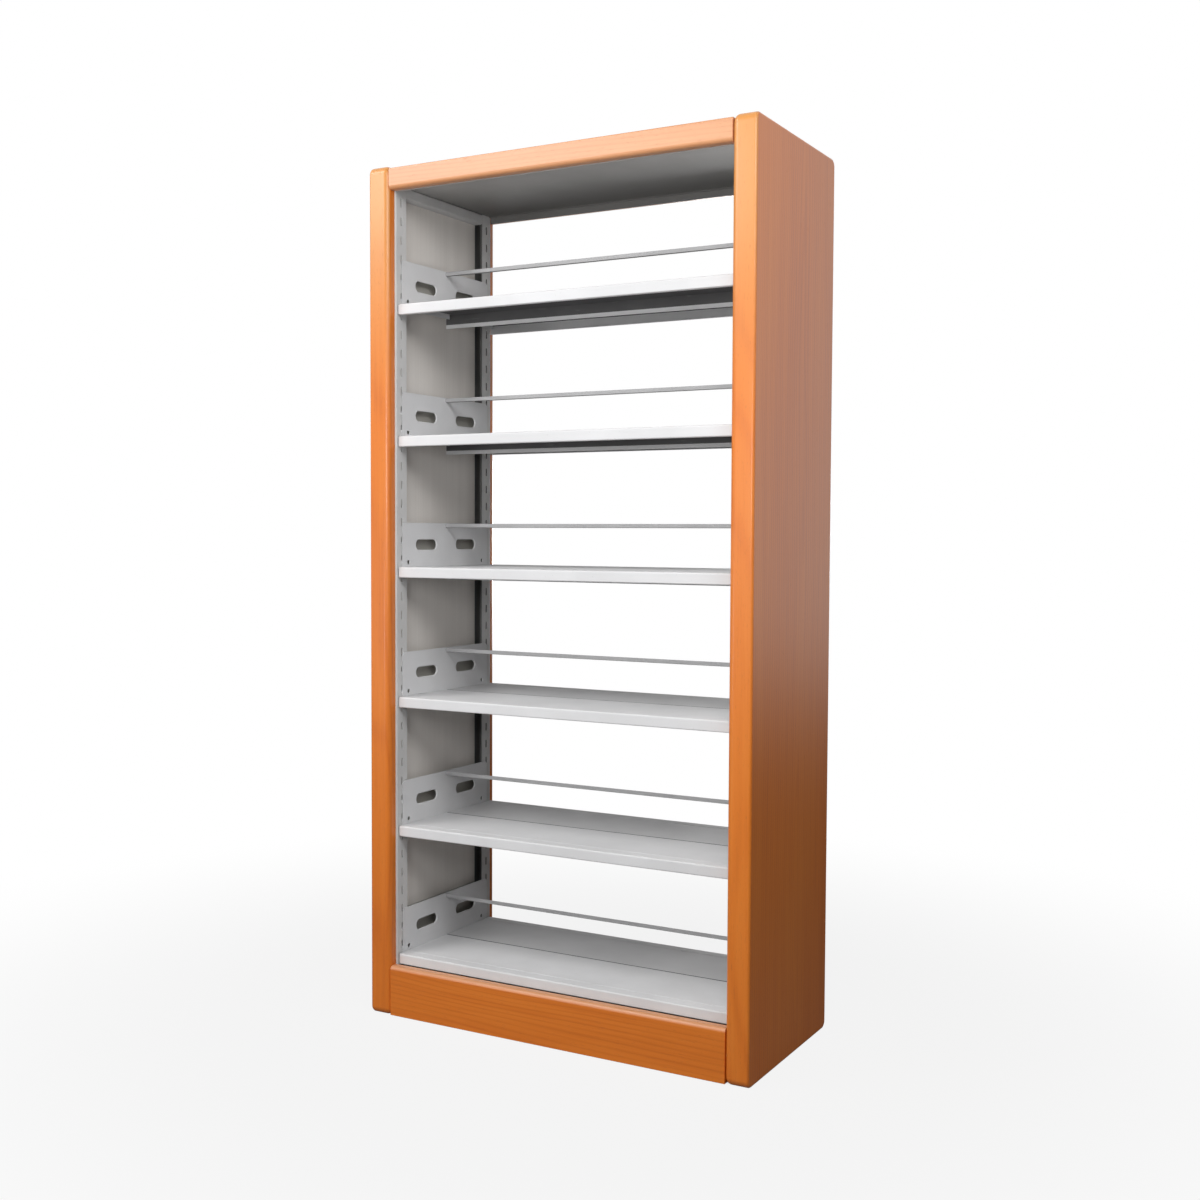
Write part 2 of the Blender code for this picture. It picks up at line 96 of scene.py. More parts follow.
class NodeSheet:
    # the nodes of one material or of the world
    def __init__(self, tree):
        self.tree = tree
        tree.nodes.clear()

    def add(self, kind, settings=None, sockets=None, out=0):
        node = self.tree.nodes.new(kind)
        for key, value in (settings or {}).items():
            if key == "stops":
                ramp = node.color_ramp
                while len(ramp.elements) < len(value):
                    ramp.elements.new(0.5)
                for element, (place, colour) in zip(ramp.elements, value):
                    element.position = place
                    element.color = (*colour, 1.0)
            else:
                setattr(node, key, value)
        for key, value in (sockets or {}).items():
            if isinstance(value, Wire):
                self.tree.links.new(value.socket, node.inputs[key])
            else:
                node.inputs[key].default_value = value
        return Wire(self, node.outputs[out]) if node.outputs else node

    def place(self, turn=(0.0, 0.0, 0.0)):
        spot = self.add("ShaderNodeTexCoord", out="Object")
        return self.add("ShaderNodeMapping", None, {"Vector": spot, "Rotation": turn})

    def split(self, vector):
        first = self.add("ShaderNodeSeparateXYZ", None, {0: vector})
        outputs = first.socket.node.outputs
        return [Wire(self, outputs[i]) for i in range(3)]

    def noise(self, spot, look):
        # "draw" lengthens the noise along the axis that it scales down
        if "draw" in look:
            spot = self.add("ShaderNodeVectorMath", {"operation": "MULTIPLY"}, {0: spot, 1: look["draw"]})
        return self.add("ShaderNodeTexNoise", {"noise_dimensions": "3D"}, {
            "Vector": spot, "Scale": look["scale"], "Detail": look["detail"],
            "Roughness": look.get("roughness", 0.5)})

    def ease(self, value, low, high):
        return self.add("ShaderNodeMapRange", {"interpolation_type": "SMOOTHSTEP"}, {
            "Value": value, "From Min": low, "From Max": high})

    def patches(self, spot, look):
        # only the peaks of a noise
        return self.ease(self.noise(spot, look), look["low"], look["high"])

    def sine(self, value):
        return value.maths("SINE", value)

    def blend(self, factor, first, second):
        # a Mix node's colours are its sockets 6 and 7, and its colour result is output 2
        return self.add("ShaderNodeMix", {"data_type": "RGBA"}, {0: factor, 6: first, 7: second}, out=2)

    def bump(self, height, look):
        return self.add("ShaderNodeBump", None, {
            "Height": height, "Distance": look["bumpDeep"], "Strength": look["bumpStrength"]})

    def surface(self, sockets):
        shader = self.add("ShaderNodeBsdfPrincipled", None, sockets)
        self.add("ShaderNodeOutputMaterial", None, {"Surface": shader})


def newFinish(name):
    material = bpy.data.materials.new(name)
    material.use_nodes = True
    return material, NodeSheet(material.node_tree)


# finishes

beechTones = {"dark": (0.560, 0.118, 0.009), "middle": (0.745, 0.196, 0.018),
              "light": (0.860, 0.275, 0.036)}
# painted reflection: a paler copy of the beech tones, for the top rails
sheenPaleTones = {"dark": (0.560, 0.235, 0.094), "middle": (0.680, 0.312, 0.142),
             "light": (0.760, 0.380, 0.180)}
beechLooks = {
    "panelWood": {**beechTones, "turn": 0.0, "sheenPaling": 0.0},
    # painted sheen: the panels' front and rear faces grow paler towards the top
    "edgeSheenWood": {**beechTones, "turn": 0.0, "sheenPaling": 0.85, "pale": (0.705, 0.322, 0.085, 1.0),
                 "sheenFrom": 1.35, "sheenTo": 2.05},
    "railSheenWood": {**sheenPaleTones, "turn": -90.0, "sheenPaling": 0.0},
    # painted highlight: the kick plate grows paler along its rounded top edge
    "kickHighlightWood": {**beechTones, "turn": -90.0, "sheenPaling": 0.95, "pale": (0.690, 0.330, 0.160, 1.0),
                 "sheenFrom": 0.109, "sheenTo": 0.119},
}
beechGrain = {
    "sway": {"draw": (1.0, 1.0, 0.22), "scale": 5.0, "detail": 2.0, "reach": 0.050},
    "drift": {"draw": (1.0, 1.0, 0.35), "scale": 2.2, "detail": 1.0, "reach": 0.120},
    "heart": {"x": 0.478, "y": 0.035, "z": 0.95, "lean": 0.020, "spacing": 0.0105, "sharpness": 3.0,
              "share": 0.13},
    "streak": {"draw": (1.0, 1.0, 0.030), "scale": 62.0, "detail": 2.0, "roughness": 0.6, "share": 0.34,
               "relief": 0.4},
    "fibre": {"draw": (1.0, 1.0, 0.022), "scale": 420.0, "detail": 2.0, "roughness": 0.65, "share": 0.22,
              "relief": 0.6, "dulling": 0.10},
    "cloud": {"draw": (1.0, 1.0, 0.30), "scale": 3.4, "detail": 2.0, "share": 0.50},
    "fleck": {"draw": (1.0, 1.0, 0.10), "scale": 620.0, "detail": 1.0, "low": 0.66, "high": 0.74,
              "share": 0.20, "relief": 0.8, "dulling": 0.10, "colour": (0.300, 0.072, 0.012, 1.0)},
    "tone": 0.52, "darkAt": 0.12, "middleAt": 0.50, "lightAt": 0.88, "roughness": 0.36, "coat": 0.30,
    "coatRoughness": 0.22, "shine": 0.40, "bumpDeep": 0.00016, "bumpStrength": 0.55,
}


def beechFinish(name):
    # lacquered beech, its grain along Z before the turn
    look = {**beechGrain, **beechLooks[name]}
    material, sheet = newFinish(name)
    spot = sheet.place((0.0, math.radians(look["turn"]), 0.0))
    x, y, z = sheet.split(spot)
    heart = look["heart"]
    sway = sheet.noise(spot, look["sway"]).swing(look["sway"]["reach"])
    drift = sheet.noise(spot, look["drift"]).swing(look["drift"]["reach"])
    across = abs(x) - heart["x"] + (z - heart["z"]) * heart["lean"] + sway
    along = y - heart["y"] + drift
    out = (across * across + along * along) ** 0.5
    rings = (sheet.sine(out * (2 * math.pi / heart["spacing"])) * 0.5 + 0.5) ** heart["sharpness"]
    streak = sheet.noise(spot, look["streak"])
    fibre = sheet.noise(spot, look["fibre"])
    cloud = sheet.noise(spot, look["cloud"])
    fleck = sheet.patches(spot, look["fleck"])
    tone = look["tone"] + streak.swing(look["streak"]["share"]) + fibre.swing(look["fibre"]["share"])
    tone = tone + cloud.swing(look["cloud"]["share"]) - rings * heart["share"]
    stops = [(look[tint + "At"], look[tint]) for tint in ("dark", "middle", "light")]
    colour = sheet.add("ShaderNodeValToRGB", {"stops": stops}, {0: tone})
    if look["sheenPaling"]:  # painted sheen and highlight, paler towards the top
        height = sheet.split(sheet.place())[2]
        sheenPaling = sheet.ease(height, look["sheenFrom"], look["sheenTo"]) * look["sheenPaling"]
        colour = sheet.blend(sheenPaling, colour, look["pale"])
    colour = sheet.blend(fleck * look["fleck"]["share"], colour, look["fleck"]["colour"])
    rough = look["roughness"] + fibre.swing(look["fibre"]["dulling"]) + fleck * look["fleck"]["dulling"]
    relief = fibre * look["fibre"]["relief"] + streak * look["streak"]["relief"]
    relief = relief - fleck * look["fleck"]["relief"]
    sheet.surface({
        "Base Color": colour, "Roughness": rough, "Specular IOR Level": look["shine"],
        "Coat Weight": look["coat"], "Coat Roughness": look["coatRoughness"],
        "Normal": sheet.bump(relief, look)})
    return material


paintLooks = {
    "framePaint": {"base": (0.700, 0.696, 0.690, 1.0), "deep": (0.640, 0.636, 0.630, 1.0),
                   "roughness": 0.50, "shine": 0.30},
    # painted shade: a darker copy of the frame paint for the canopy, darker again towards the rear
    "canopyShadePaint": {"base": (0.470, 0.461, 0.448, 1.0), "deep": (0.425, 0.416, 0.404, 1.0),
                    "roughness": 0.52, "shine": 0.25,
                    "far": (0.200, 0.196, 0.189, 1.0), "farFrom": -0.20, "farTo": 0.16},
    "shelfPaint": {"base": (0.765, 0.766, 0.774, 1.0), "deep": (0.715, 0.716, 0.723, 1.0),
                   "roughness": 0.60, "shine": 0.14},
    "stopPaint": {"base": (0.465, 0.465, 0.470, 1.0), "deep": (0.415, 0.415, 0.420, 1.0),
                  "roughness": 0.50, "shine": 0.30},
    # painted shade: a darker copy of the shelf paint for the rear boards
    "rearShadePaint": {"base": (0.660, 0.660, 0.667, 1.0), "deep": (0.615, 0.615, 0.621, 1.0),
                  "roughness": 0.60, "shine": 0.14},
    # painted shade: inside the rear uprights' channels and under the stop bars
    "deepShadePaint": {"base": (0.190, 0.187, 0.183, 1.0), "deep": (0.160, 0.157, 0.153, 1.0),
                   "roughness": 0.60, "shine": 0.20},
    # painted shade: under the shelf boards, on their back bends and upper back lips
    "boardShadePaint": {"base": (0.125, 0.124, 0.126, 1.0), "deep": (0.105, 0.104, 0.106, 1.0),
                   "roughness": 0.60, "shine": 0.20},
}
paintGrain = {
    "cloud": {"scale": 7.0, "detail": 3.0, "roughness": 0.55, "low": 0.30, "high": 0.70, "dulling": 0.14},
    "peel": {"scale": 680.0, "detail": 1.5},
    "rub": {"draw": (0.12, 1.0, 1.0), "scale": 95.0, "detail": 3.0, "roughness": 0.7, "low": 0.62,
            "high": 0.80, "share": 0.10, "polish": 0.08, "colour": (0.86, 0.86, 0.86, 1.0)},
    "speck": {"scale": 240.0, "detail": 1.0, "low": 0.70, "high": 0.76, "share": 0.10, "dulling": 0.10,
              "colour": (0.20, 0.19, 0.17, 1.0)},
    "bumpDeep": 0.00012, "bumpStrength": 0.5,
}


def paintFinish(name):
    # stove paint on sheet steel: a fine orange peel, slight clouds and rubbed places
    look = {**paintGrain, **paintLooks[name]}
    material, sheet = newFinish(name)
    spot = sheet.place()
    cloud = sheet.noise(spot, look["cloud"])
    peel = sheet.noise(spot, look["peel"])
    rub = sheet.patches(spot, look["rub"])
    speck = sheet.patches(spot, look["speck"])
    deepness = sheet.ease(cloud, look["cloud"]["low"], look["cloud"]["high"])
    colour = sheet.blend(deepness, look["base"], look["deep"])
    if "far" in look:  # painted shade, darker towards the rear
        depth = sheet.split(spot)[1]
        colour = sheet.blend(sheet.ease(depth, look["farFrom"], look["farTo"]), colour, look["far"])
    colour = sheet.blend(rub * look["rub"]["share"], colour, look["rub"]["colour"])
    colour = sheet.blend(speck * look["speck"]["share"], colour, look["speck"]["colour"])
    rough = look["roughness"] + cloud.swing(look["cloud"]["dulling"])
    rough = rough - rub * look["rub"]["polish"] + speck * look["speck"]["dulling"]
    sheet.surface({
        "Base Color": colour, "Roughness": rough, "Specular IOR Level": look["shine"],
        "Normal": sheet.bump(peel, look)})
    return material


sheetLook = {
    "pale": (0.880, 0.840, 0.795, 1.0), "deep": (0.740, 0.700, 0.655, 1.0),
    "shade": (0.430, 0.418, 0.382, 1.0),
    "lines": {"draw": (1.0, 1.0, 0.006), "scale": 210.0, "detail": 3.0, "roughness": 0.7, "share": 0.45,
              "dulling": 0.16},
    "bands": {"draw": (1.0, 1.0, 0.020), "scale": 36.0, "detail": 2.0, "share": 0.40},
    "cloud": {"scale": 5.0, "detail": 2.0, "share": 0.50},
    "tone": 0.5, "deepAt": 0.1, "paleAt": 0.9, "firstShelf": 0.144, "shelfPitch": 0.308,
    "shadeRise": 0.100, "shadeFade": 0.004, "roughness": 0.50, "bumpDeep": 0.00010, "bumpStrength": 0.5,
}


def sheetFinish(name):
    # the side sheets: a warmer grey with drawn lines from top to bottom, and a painted shade behind the
    # brackets
    look = sheetLook
    material, sheet = newFinish(name)
    spot = sheet.place()
    lines = sheet.noise(spot, look["lines"])
    bands = sheet.noise(spot, look["bands"])
    cloud = sheet.noise(spot, look["cloud"])
    tone = look["tone"] + lines.swing(look["lines"]["share"]) + bands.swing(look["bands"]["share"])
    tone = tone + cloud.swing(look["cloud"]["share"])
    colour = sheet.blend(sheet.ease(tone, look["deepAt"], look["paleAt"]), look["deep"], look["pale"])
    step = (sheet.split(spot)[2] - look["firstShelf"]) / look["shelfPitch"]
    rise = step.maths("FRACT", step) * look["shelfPitch"]
    behind = 1.0 - sheet.ease(rise, look["shadeRise"] - look["shadeFade"], look["shadeRise"])
    colour = sheet.blend(behind, colour, look["shade"])  # painted shade behind the brackets, seen through their holes
    sheet.surface({
        "Base Color": colour, "Roughness": look["roughness"] + lines.swing(look["lines"]["dulling"]),
        "Normal": sheet.bump(lines, look)})
    return material


zincLook = {"bright": (0.62, 0.63, 0.62, 1.0), "dull": (0.40, 0.41, 0.42, 1.0), "crystals": 900.0,
            "roughness": 0.34, "dulling": 0.2}


def zincFinish(name):
    # zinc plate, crystal by crystal
    look = zincLook
    material, sheet = newFinish(name)
    cell = sheet.add("ShaderNodeTexVoronoi", {"feature": "F1"}, {
        "Vector": sheet.place(), "Scale": look["crystals"]}, out="Color")
    tone = sheet.split(cell)[0]
    sheet.surface({
        "Base Color": sheet.blend(tone, look["dull"], look["bright"]), "Metallic": 1.0,
        "Roughness": look["roughness"] + tone.swing(look["dulling"])})
    return material


dowelLook = {
    "pale": (0.72, 0.52, 0.32, 1.0), "deep": (0.54, 0.34, 0.18, 1.0), "roughness": 0.72, "dulling": 0.1,
    "fibre": {"draw": (0.04, 1.0, 1.0), "scale": 900.0, "detail": 2.0, "roughness": 0.6},
    "deepAt": 0.3, "paleAt": 0.7, "bumpDeep": 0.0001, "bumpStrength": 0.5,
}


def dowelFinish(name):
    # bare turned beech, its grain along X
    look = dowelLook
    material, sheet = newFinish(name)
    fibre = sheet.noise(sheet.place(), look["fibre"])
    colour = sheet.blend(sheet.ease(fibre, look["deepAt"], look["paleAt"]), look["deep"], look["pale"])
    sheet.surface({
        "Base Color": colour, "Roughness": look["roughness"] + fibre.swing(look["dulling"]),
        "Normal": sheet.bump(fibre, look)})
    return material


panelWood = beechFinish("panelWood")
railSheenWood = beechFinish("railSheenWood")
kickHighlightWood = beechFinish("kickHighlightWood")
edgeSheenWood = beechFinish("edgeSheenWood")
framePaint = paintFinish("framePaint")
shelfPaint = paintFinish("shelfPaint")
stopPaint = paintFinish("stopPaint")
boardShadePaint = paintFinish("boardShadePaint")
deepShadePaint = paintFinish("deepShadePaint")
rearShadePaint = paintFinish("rearShadePaint")
canopyShadePaint = paintFinish("canopyShadePaint")
sheetPaint = sheetFinish("sheetPaint")
zincPlate = zincFinish("zincPlate")
dowelBeech = dowelFinish("dowelBeech")
print("finishes made:", len(bpy.data.materials))


# shaping tools

def arcPoints(centre, radius, startDeg, endDeg, steps):
    turns = [math.radians(startDeg + (endDeg - startDeg) * i / steps) for i in range(steps + 1)]
    return [(centre[0] + radius * math.cos(a), centre[1] + radius * math.sin(a)) for a in turns]


def roundedLoop(lowY, highY, lowZ, highZ, radius, steps):
    # a rectangle with round corners, from its lower corner at the high Y side
    loop = []
    for y, z, start in ((highY - radius, lowZ + radius, -90), (highY - radius, highZ - radius, 0),
                        (lowY + radius, highZ - radius, 90), (lowY + radius, lowZ + radius, 180)):
        loop += arcPoints((y, z), radius, start, start + 90, steps)
    return loop


def roundBends(path, radius, steps=5):
    # an open line of points with each bend drawn as an arc
    points = [Vector(p) for p in path]
    result = [points[0]]
    for before, bend, after in zip(points, points[1:], points[2:]):
        back = (before - bend).normalized()
        ahead = (after - bend).normalized()
        half = back.angle(ahead) / 2
        centre = bend + (back + ahead).normalized() * (radius / math.sin(half))
        start = bend + back * (radius / math.tan(half)) - centre
        end = bend + ahead * (radius / math.tan(half)) - centre
        result += [centre + start.slerp(end, i / steps).normalized() * radius for i in range(steps + 1)]
    return result + [points[-1]]


def sheetOutline(path, thickness):
    # both faces of a folded sheet round its middle line, as one closed outline
    normals = []
    for first, second in zip(path, path[1:]):
        run = (second - first).normalized()
        normals.append(Vector((-run.y, run.x)))
    left, right = [], []
    for i, point in enumerate(path):
        before = normals[max(i - 1, 0)]
        after = normals[min(i, len(normals) - 1)]
        miter = (before + after).normalized()
        reach = thickness / 2 / miter.dot(before)
        left.append(point + miter * reach)
        right.append(point - miter * reach)
    return left + right[::-1]


def bridgeRings(bm, first, second):
    # a band of faces between two rings of as many points
    for i in range(len(first)):
        j = (i + 1) % len(first)
        bm.faces.new((first[i], first[j], second[j], second[i]))


def loftRings(bm, rings, capped=True):
    loops = [[bm.verts.new(point) for point in ring] for ring in rings]
    for low, high in zip(loops, loops[1:]):
        bridgeRings(bm, low, high)
    if capped:
        bm.faces.new(loops[0])
        bm.faces.new(loops[-1])
    return loops


def newPiece(name, bm):
    bmesh.ops.recalc_face_normals(bm, faces=bm.faces)
    mesh = bpy.data.meshes.new(name)
    bm.to_mesh(mesh)
    bm.free()
    piece = bpy.data.objects.new(name, mesh)
    bpy.context.scene.collection.objects.link(piece)
    return piece


def settle(piece):
    # what the modifiers make becomes the piece's own plain mesh
    if piece.modifiers:
        graph = bpy.context.evaluated_depsgraph_get()
        mesh = bpy.data.meshes.new_from_object(
            piece.evaluated_get(graph), preserve_all_data_layers=True, depsgraph=graph)
        piece.modifiers.clear()
        piece.data = mesh


def smoothShade(piece, sharpDeg=38):
    # round stretches shade smoothly and flats stay flat beside them
    settle(piece)
    piece.data.shade_smooth()
    piece.data.set_sharp_from_angle(angle=math.radians(sharpDeg))
    weigh = piece.modifiers.new("flatFaces", "WEIGHTED_NORMAL")
    weigh.keep_sharp = True
    settle(piece)


def easeEdges(piece, width, angleDeg):
    # takes the sharpness off every edge that turns by more than the angle
    bevel = piece.modifiers.new("easedEdges", "BEVEL")
    bevel.width = width
    bevel.segments = 2
    bevel.limit_method = "ANGLE"
    bevel.angle_limit = math.radians(angleDeg)
    bevel.use_clamp_overlap = True


def thicken(piece, thickness):
    solid = piece.modifiers.new("sheetSteel", "SOLIDIFY")
    solid.thickness = thickness
    solid.offset = 0.0
    solid.use_even_offset = True
    solid.use_quality_normals = True


def dress(piece, finish, body, slot, *nodes):
    piece.data.materials.clear()
    piece.data.materials.append(finish)
    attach(piece, body)
    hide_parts(*nodes)


def secondCoat(piece, finish, isCoated):
    # another finish on the faces that the test picks
    piece.data.materials.append(finish)
    for face in piece.data.polygons:
        if isCoated(face):
            face.material_index = len(piece.data.materials) - 1


# wood: end panels, top rails and kick plates

panelCut = {"corner": 0.018, "outerRound": 0.006, "innerRound": 0.014, "leastRound": 0.002,
            "cornerSteps": 10, "outerSteps": 6, "innerSteps": 9, "boardThick": 0.025,
            "pocketY": 0.200, "sill": 0.020, "pocketTop": 1.9853, "cutterPast": 0.010, "edgeTurn": 0.35}


def panelRing(x, inset, low, high):
    radius = max(panelCut["corner"] - inset, panelCut["leastRound"])
    loop = roundedLoop(low.y + inset, high.y - inset, low.z + inset, high.z - inset, radius,
                       panelCut["cornerSteps"])
    return [(x, y, z) for y, z in loop]


for side, sign in sides.items():
    low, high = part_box(side + "_end_panel")
    outerX = max(abs(low.x), abs(high.x))
    innerX = min(abs(low.x), abs(high.x))
    rings = []
    for i in range(panelCut["outerSteps"] + 1):
        turn = math.pi / 2 * i / panelCut["outerSteps"]
        x = outerX - panelCut["outerRound"] * (1 - math.cos(turn))
        rings.append(panelRing(sign * x, panelCut["outerRound"] * (1 - math.sin(turn)), low, high))
    for i in range(panelCut["innerSteps"] + 1):
        turn = math.pi / 2 * i / panelCut["innerSteps"]
        x = innerX + panelCut["innerRound"] * (1 - math.sin(turn))
        rings.append(panelRing(sign * x, panelCut["innerRound"] * (1 - math.cos(turn)), low, high))
    bm = bmesh.new()
    loftRings(bm, rings)
    panel = newPiece("woodPanel" + side.capitalize(), bm)
    edgeY = panelCut["pocketY"]
    pocketX = (innerX - panelCut["cutterPast"], outerX - panelCut["boardThick"])
    corners = [(-edgeY, panelCut["sill"]), (edgeY, panelCut["sill"]), (edgeY, panelCut["pocketTop"]),
               (-edgeY, panelCut["pocketTop"])]
    bm = bmesh.new()
    loftRings(bm, [[(sign * x, y, z) for y, z in corners] for x in pocketX])
    pocket = newPiece("pocketCutter", bm)
    carve = panel.modifiers.new("pocket", "BOOLEAN")
    carve.operation = "DIFFERENCE"
    carve.solver = "EXACT"
    carve.object = pocket
    settle(panel)
    bpy.data.objects.remove(pocket, do_unlink=True)
    smoothShade(panel)
    dress(panel, panelWood, "frame", "wood", side + "_end_panel")
    # the front and rear faces take the finish with the painted sheen
    secondCoat(panel, edgeSheenWood, lambda face: abs(face.normal.y) > panelCut["edgeTurn"])

crossCut = {"railUnderRound": 0.009, "railTopRound": 0.003, "kickRound": 0.010, "innerEase": 0.0012,
            "roundSteps": 8, "easeSteps": 3}


def crossBoard(node, name, lowRound, highRound, finish):
    # a board along X, rounded on its outer edges and just eased on its inner ones
    low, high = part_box(node)
    way = -1 if low.y < 0 else 1
    outer = max(abs(low.y), abs(high.y))
    inner = min(abs(low.y), abs(high.y))
    ease = crossCut["innerEase"]
    profile = arcPoints((inner + ease, low.z + ease), ease, 180, 270, crossCut["easeSteps"])
    profile += arcPoints((outer - lowRound, low.z + lowRound), lowRound, -90, 0, crossCut["roundSteps"])
    profile += arcPoints((outer - highRound, high.z - highRound), highRound, 0, 90, crossCut["roundSteps"])
    profile += arcPoints((inner + ease, high.z - ease), ease, 90, 180, crossCut["easeSteps"])
    bm = bmesh.new()
    loftRings(bm, [[(x, way * y, z) for y, z in profile] for x in (low.x, high.x)])
    board = newPiece(name, bm)
    smoothShade(board)
    dress(board, finish, "frame", "wood", node)


for face in faces:
    end = face.capitalize()
    crossBoard("top_rail_" + face, "topRailBoard" + end, crossCut["railUnderRound"],
               crossCut["railTopRound"], railSheenWood)
    crossBoard("kick_plate_" + face, "kickBoard" + end, crossCut["innerEase"],
               crossCut["kickRound"], kickHighlightWood)
print("wood boards made")


# steel frame: slotted uprights, ties, side sheets and canopy

uprightCut = {"wall": 0.002, "bend": 0.0028, "slotWidth": 0.005, "slotHeight": 0.020, "slotRound": 0.0022,
              "slotSteps": 4, "slotPitch": 0.044, "firstSlot": 0.0637, "slotCount": 43, "slotY": 0.1797,
              "punchReach": 0.010, "weld": 0.00001}


def slotPunchTree():
    # punches a row of round-cornered slots up a sheet, from named sizes
    tree = bpy.data.node_groups.new("slotPunch", "GeometryNodeTree")
    ports = {}
    for name, kind in (("Channel", "Geometry"), ("Slot Width", "Float"), ("Slot Height", "Float"),
                       ("Slot Round", "Float"), ("Slot Pitch", "Float"), ("Slot Count", "Int"),
                       ("First Slot", "Vector"), ("Punch Reach", "Float"), ("Finish", "Material")):
        ports[name] = tree.interface.new_socket(name=name, in_out="INPUT", socket_type="NodeSocket" + kind)
    tree.interface.new_socket(name="Channel", in_out="OUTPUT", socket_type="NodeSocketGeometry")

    def node(kind, settings=None, **links):
        made = tree.nodes.new(kind)
        for key, value in (settings or {}).items():
            setattr(made, key, value)
        for key, value in links.items():
            socket = made.inputs[key.replace("_", " ")]
            if isinstance(value, bpy.types.NodeSocket):
                tree.links.new(value, socket)
            else:
                socket.default_value = value
        return made

    given = tree.nodes.new("NodeGroupInput").outputs
    outline = node("GeometryNodeCurvePrimitiveQuadrilateral", Width=given["Slot Height"],
                   Height=given["Slot Width"])
    fillet = node("GeometryNodeFilletCurve", {"mode": "POLY"}, Curve=outline.outputs[0],
                  Count=uprightCut["slotSteps"], Radius=given["Slot Round"], Limit_Radius=True)
    blank = node("GeometryNodeFillCurve", {"mode": "NGONS"}, Curve=fillet.outputs[0])
    reach = node("ShaderNodeCombineXYZ", Z=given["Punch Reach"])
    drawn = node("GeometryNodeExtrudeMesh", {"mode": "FACES"}, Mesh=blank.outputs[0],
                 Offset=reach.outputs[0], Offset_Scale=1.0, Individual=False)
    under = node("GeometryNodeFlipFaces", Mesh=blank.outputs[0])
    punch = tree.nodes.new("GeometryNodeJoinGeometry")
    tree.links.new(drawn.outputs[0], punch.inputs[0])
    tree.links.new(under.outputs[0], punch.inputs[0])
    closed = node("GeometryNodeMergeByDistance", Geometry=punch.outputs[0], Distance=uprightCut["weld"])
    half = node("ShaderNodeMath", {"operation": "MULTIPLY"})
    tree.links.new(given["Punch Reach"], half.inputs[0])
    half.inputs[1].default_value = -0.5  # the punch goes as far before the sheet as behind it
    centre = node("ShaderNodeCombineXYZ", X=half.outputs[0])
    turned = node("GeometryNodeTransform", Geometry=closed.outputs[0], Translation=centre.outputs[0],
                  Rotation=(0.0, math.radians(90), 0.0))
    rise = node("ShaderNodeCombineXYZ", Z=given["Slot Pitch"])
    row = node("GeometryNodeMeshLine", {"mode": "OFFSET"}, Count=given["Slot Count"],
               Start_Location=given["First Slot"], Offset=rise.outputs[0])
    placed = node("GeometryNodeInstanceOnPoints", Points=row.outputs[0], Instance=turned.outputs[0])
    punches = node("GeometryNodeRealizeInstances", Geometry=placed.outputs[0])
    cut = tree.nodes.new("GeometryNodeMeshBoolean")
    cut.operation = "DIFFERENCE"
    cut.solver = "EXACT"
    tree.links.new(given["Channel"], cut.inputs["Mesh 1"])
    tree.links.new(punches.outputs[0], cut.inputs["Mesh 2"])
    plain = node("GeometryNodeRealizeInstances", Geometry=cut.outputs[0])
    painted = node("GeometryNodeSetMaterial", Geometry=plain.outputs[0], Material=given["Finish"])
    result = tree.nodes.new("NodeGroupOutput")
    tree.links.new(painted.outputs[0], result.inputs[0])
    return tree, ports


channelShade = {"turn": 0.5, "wallTurn": 0.3, "webSkin": 0.0004, "slotSkin": 0.0006, "backFrom": 0.004,
                "foldClear": 0.001, "foldReach": 0.002}


def isInChannel(face, sign, way, webX, foldY):
    # the inner faces of an upright and the walls of its slots, where the rear uprights take a painted shade
    test = channelShade
    across = abs(face.center.x) - webX
    outward = face.normal.x * sign
    aside = abs(face.center.y)
    inner = across > test["webSkin"] and outward > test["turn"] and aside < foldY - test["foldClear"]
    back = across > test["backFrom"] and outward < -test["turn"]
    fold = face.normal.y * way < -test["turn"] and aside > foldY - test["foldReach"]
    slotWall = abs(across) < test["slotSkin"] and abs(outward) < test["wallTurn"]
    return inner or back or fold or slotWall


punchTree, punchPorts = slotPunchTree()

for side, sign in sides.items():
    for face, way in faces.items():
        node = "upright_" + face + "_" + side
        low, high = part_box(node)
        wall = uprightCut["wall"]
        webX = min(abs(low.x), abs(high.x)) + wall / 2
        backX = max(abs(low.x), abs(high.x)) - wall / 2
        foldY = max(abs(low.y), abs(high.y)) - wall / 2
        rimY = min(abs(low.y), abs(high.y))
        section = sheetOutline(roundBends(
            [(webX, rimY), (webX, foldY), (backX, foldY), (backX, rimY)], uprightCut["bend"]), wall)
        bm = bmesh.new()
        loftRings(bm, [[(sign * x, way * y, z) for x, y in section] for z in (low.z, high.z)])
        channel = newPiece("slottedUpright" + face.capitalize() + side.capitalize(), bm)
        punch = channel.modifiers.new("slots", "NODES")
        punch.node_group = punchTree
        middle = uprightCut["firstSlot"] + uprightCut["slotHeight"] / 2
        punchValues = {
            "Slot Width": uprightCut["slotWidth"], "Slot Height": uprightCut["slotHeight"],
            "Slot Round": uprightCut["slotRound"], "Slot Pitch": uprightCut["slotPitch"],
            "Slot Count": uprightCut["slotCount"], "Punch Reach": uprightCut["punchReach"],
            "First Slot": (sign * webX, way * uprightCut["slotY"], middle), "Finish": framePaint}
        for name, value in punchValues.items():
            punch[punchPorts[name].identifier] = value
        smoothShade(channel)
        dress(channel, framePaint, "frame", "frame_steel", node)
        # painted shade inside the rear uprights' channels and slots
        if face == "rear":
            secondCoat(channel, deepShadePaint, lambda face: isInChannel(face, sign, way, webX, foldY))

tieCut = {"wall": 0.002, "bend": 0.0028}

